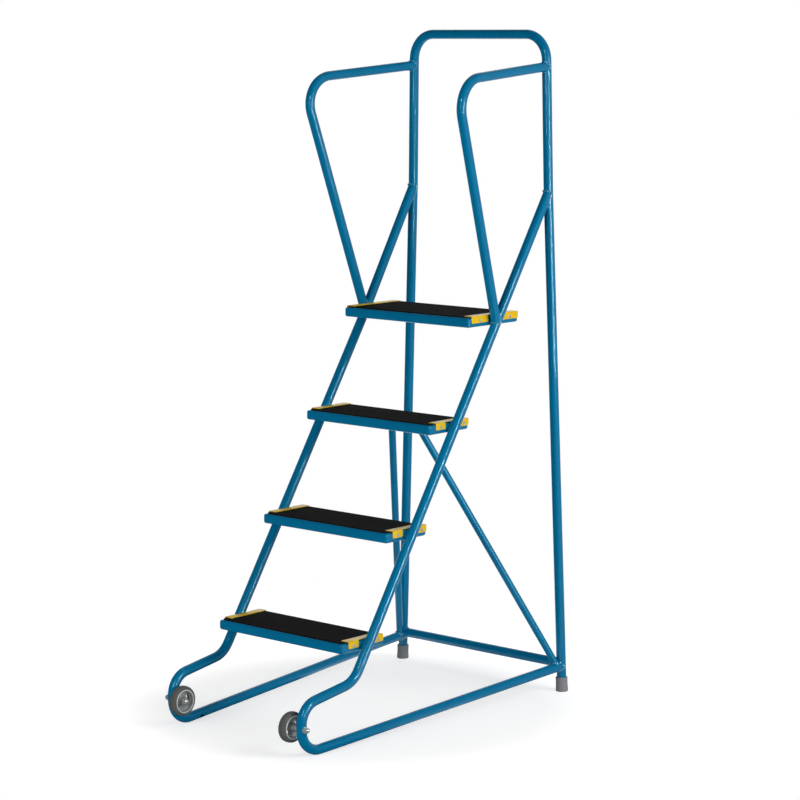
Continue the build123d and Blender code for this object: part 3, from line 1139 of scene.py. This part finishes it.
        def round_end(end: float, start: float) -> list[Vector]:
            """List the points inside the half circle at one end of the opening."""
            return [polar(reach, end) + polar(half, end + start + math.pi * n / 8) for n in range(1, 8)]

        outline = [polar(reach + half, turn) for turn in arc] + round_end(spread, 0.0)
        outline += [polar(reach - half, -turn) for turn in arc] + round_end(-spread, math.pi)
        cutter = trace("opening_cutter", [point - Vector((depth, 0.0, 0.0)) for point in outline])
        set_in_place(cutter, Matrix.Rotation(middle_turn, 4, "X"))
        with editing(cutter):
            bpy.ops.mesh.edge_face_add()
            bpy.ops.mesh.extrude_region_move(TRANSFORM_OT_translate={"value": (2 * depth * MM, 0, 0)})
            bpy.ops.mesh.select_all(action="SELECT")
            bpy.ops.mesh.normals_make_consistent(inside=False)
        return cutter

    def axle(self, side: Side, bright: Material) -> None:
        """Turn one axle bolt with a smooth domed head.

        Args:
            side: Which side it is on.
            bright: Its finish.
        """
        low, high = (Vector(corner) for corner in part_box(f"axle_{side.word}"))
        length, height = (high.x - low.x) / MM, self.bolt_head_height_mm
        head, shank = self.bolt_head_radius_mm, self.bolt_radius_mm
        dome = [(height - height * math.sin(turn), head * math.cos(turn) ** 0.6) for turn in BALL_TURNS[1:-1]]
        pattern = lathe("axle_pattern", [
            (length, 0.0), (length, shank), (height, shank), (height, head - 0.3), (height - 0.3, head),
            *dome, (0.0, 0.0),
        ], 64)
        smooth(pattern, 40.0)
        inner_x = low.x if side is Side.RIGHT else high.x
        place = Matrix.Translation((inner_x, (low.y + high.y) / 2, (low.z + high.z) / 2))
        bolt = copy_of(pattern, f"axle_bolt_{side.word}", place @ Matrix.Scale(side.value, 4, (1, 0, 0)))
        finish_piece(bolt, bright, "frame", [f"axle_{side.word}"])
        bpy.data.objects.remove(pattern)


@dataclass(frozen=True)
class Lamp:
    """A rectangular lamp that faces the middle of the steps, by its place, width and height, and power.

    It may be kept out of reflections, or light nothing but reflections.
    """

    name: str
    place: Point
    size: tuple[float, float]
    watts: float
    in_mirror: bool = True
    in_diffuse: bool = True

    def add(self) -> None:
        """Stand the lamp in the studio."""
        data = bpy.data.lights.new(self.name, "AREA")
        data.shape = "RECTANGLE"
        data.size, data.size_y = self.size
        data.energy = self.watts
        lamp = bpy.data.objects.new(self.name, data)
        bpy.context.scene.collection.objects.link(lamp)
        lamp.visible_glossy = self.in_mirror
        lamp.visible_diffuse = self.in_diffuse
        lamp.location = self.place
        aim = Vector((CAD_BOX[0] + CAD_BOX[1]) / 2) - Vector(self.place)
        lamp.rotation_euler = aim.to_track_quat("-Z", "Y").to_euler()


@dataclass
class Studio:
    """The floor, the lamps, the pale background and the camera of the photograph.

    The walls are dark to the left of the camera and pale to its right, which gives the tubes a dark and a
    light side. Strip lamps that only show in reflections draw the sharp streaks along them.
    """

    floor_size: float = 14.0
    wall_top: float = 0.3
    ceiling_edge: float = 0.8
    ceiling: float = 0.3
    camera_place: Point = (4.695, -4.99475, 1.787)
    camera_yaw_deg: float = 42.3397
    camera_pitch_deg: float = -8.1023
    camera_roll_deg: float = -0.355
    focal_px: float = 2688.1
    picture_px: float = 800.0
    sensor_mm: float = 36.0
    lamps: tuple[Lamp, ...] = (
        Lamp("key_softbox", (3.6, 1.0, 2.3), (2.2, 2.2), 66.0, in_mirror=False),
        Lamp("front_fill", (0.4, -4.6, 1.6), (2.5, 2.0), 82.0, in_mirror=False),
        Lamp("strip_for_legs", (3.95, -1.05, 0.95), (0.24, 0.8), 32.0, in_diffuse=False),
        Lamp("strip_for_stringers", (4.03, 0.5, 1.5), (0.17, 1.9), 115.0, in_diffuse=False),
        Lamp("strip_for_hoop", (1.42, -3.35, 1.75), (0.2, 0.8), 22.0, in_diffuse=False),
        Lamp("spot_for_bends", (1.8, -3.7, 3.2), (0.5, 0.5), 60.0, in_diffuse=False),
    )

    def build(self) -> None:
        """Set up the whole studio."""
        self.floor()
        self.background()
        for lamp in self.lamps:
            lamp.add()
        self.camera()

    def floor(self) -> None:
        """Add the floor under the steps."""
        clear_selection()
        bpy.ops.mesh.primitive_plane_add(size=self.floor_size)
        plane = added("floor")
        plane.data.materials.append(StudioFloor().material())

    def background(self) -> None:
        """Make the world white where it is seen, and walls of differing brightness elsewhere."""
        world = bpy.data.worlds.new("studio")
        bpy.context.scene.world = world
        world.use_nodes = True
        tree = world.node_tree
        tree.nodes.clear()
        ray = add_node(tree, "LightPath")
        seen = math_node(tree, "MAXIMUM", ray.outputs["Is Camera Ray"], ray.outputs["Is Transmission Ray"])
        direction = add_node(tree, "TexCoord").outputs["Generated"]
        parts = add_node(tree, "SeparateXYZ", inputs={0: direction})
        height = add_node(tree, "MapRange", {"interpolation_type": "SMOOTHSTEP"}, {
            "Value": parts.outputs["Z"], "From Min": self.wall_top, "From Max": self.ceiling_edge,
            "To Min": 1.0, "To Max": self.ceiling})
        level = math_node(tree, "MULTIPLY", StudioWalls().brightness(tree, direction), height.outputs[0])
        strength = add_node(tree, "Mix", {"data_type": "FLOAT"}, {0: seen, 2: level, 3: 1.0})
        sky = add_node(tree, "Background", inputs={
            "Color": linear("FFFFFF"), "Strength": strength.outputs[0]})
        add_node(tree, "OutputWorld", inputs={"Surface": sky.outputs[0]})

    def camera(self) -> None:
        """Stand the camera where the photograph's stood, for a square picture."""
        yaw, pitch, roll = (math.radians(angle) for angle in (
            self.camera_yaw_deg, self.camera_pitch_deg, self.camera_roll_deg))
        ahead = Vector((-math.sin(yaw) * math.cos(pitch), math.cos(yaw) * math.cos(pitch), math.sin(pitch)))
        level = ahead.cross(Vector((0, 0, 1))).normalized()
        above = level.cross(ahead)
        right = level * math.cos(roll) + above * math.sin(roll)
        up = above * math.cos(roll) - level * math.sin(roll)
        data = bpy.data.cameras.new("camera")
        data.sensor_width = self.sensor_mm
        data.lens = self.focal_px * self.sensor_mm / self.picture_px
        camera = bpy.data.objects.new("camera", data)
        bpy.context.scene.collection.objects.link(camera)
        turn = Matrix((right, up, -ahead)).transposed().to_4x4()
        camera.matrix_world = Matrix.Translation(self.camera_place) @ turn
        bpy.context.scene.camera = camera


def main() -> None:
    """Build and dress every sub-assembly in order."""
    logging.basicConfig(level=logging.INFO, format="%(name)s: %(message)s")
    bpy.context.scene.view_settings.view_transform = "Standard"
    blue = PowderCoat().material()
    Tubework().build(blue)
    Treads().build(blue)
    Ferrules().build()
    Wheels().build()
    Studio().build()
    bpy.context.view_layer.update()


if __name__ == "__main__":
    main()
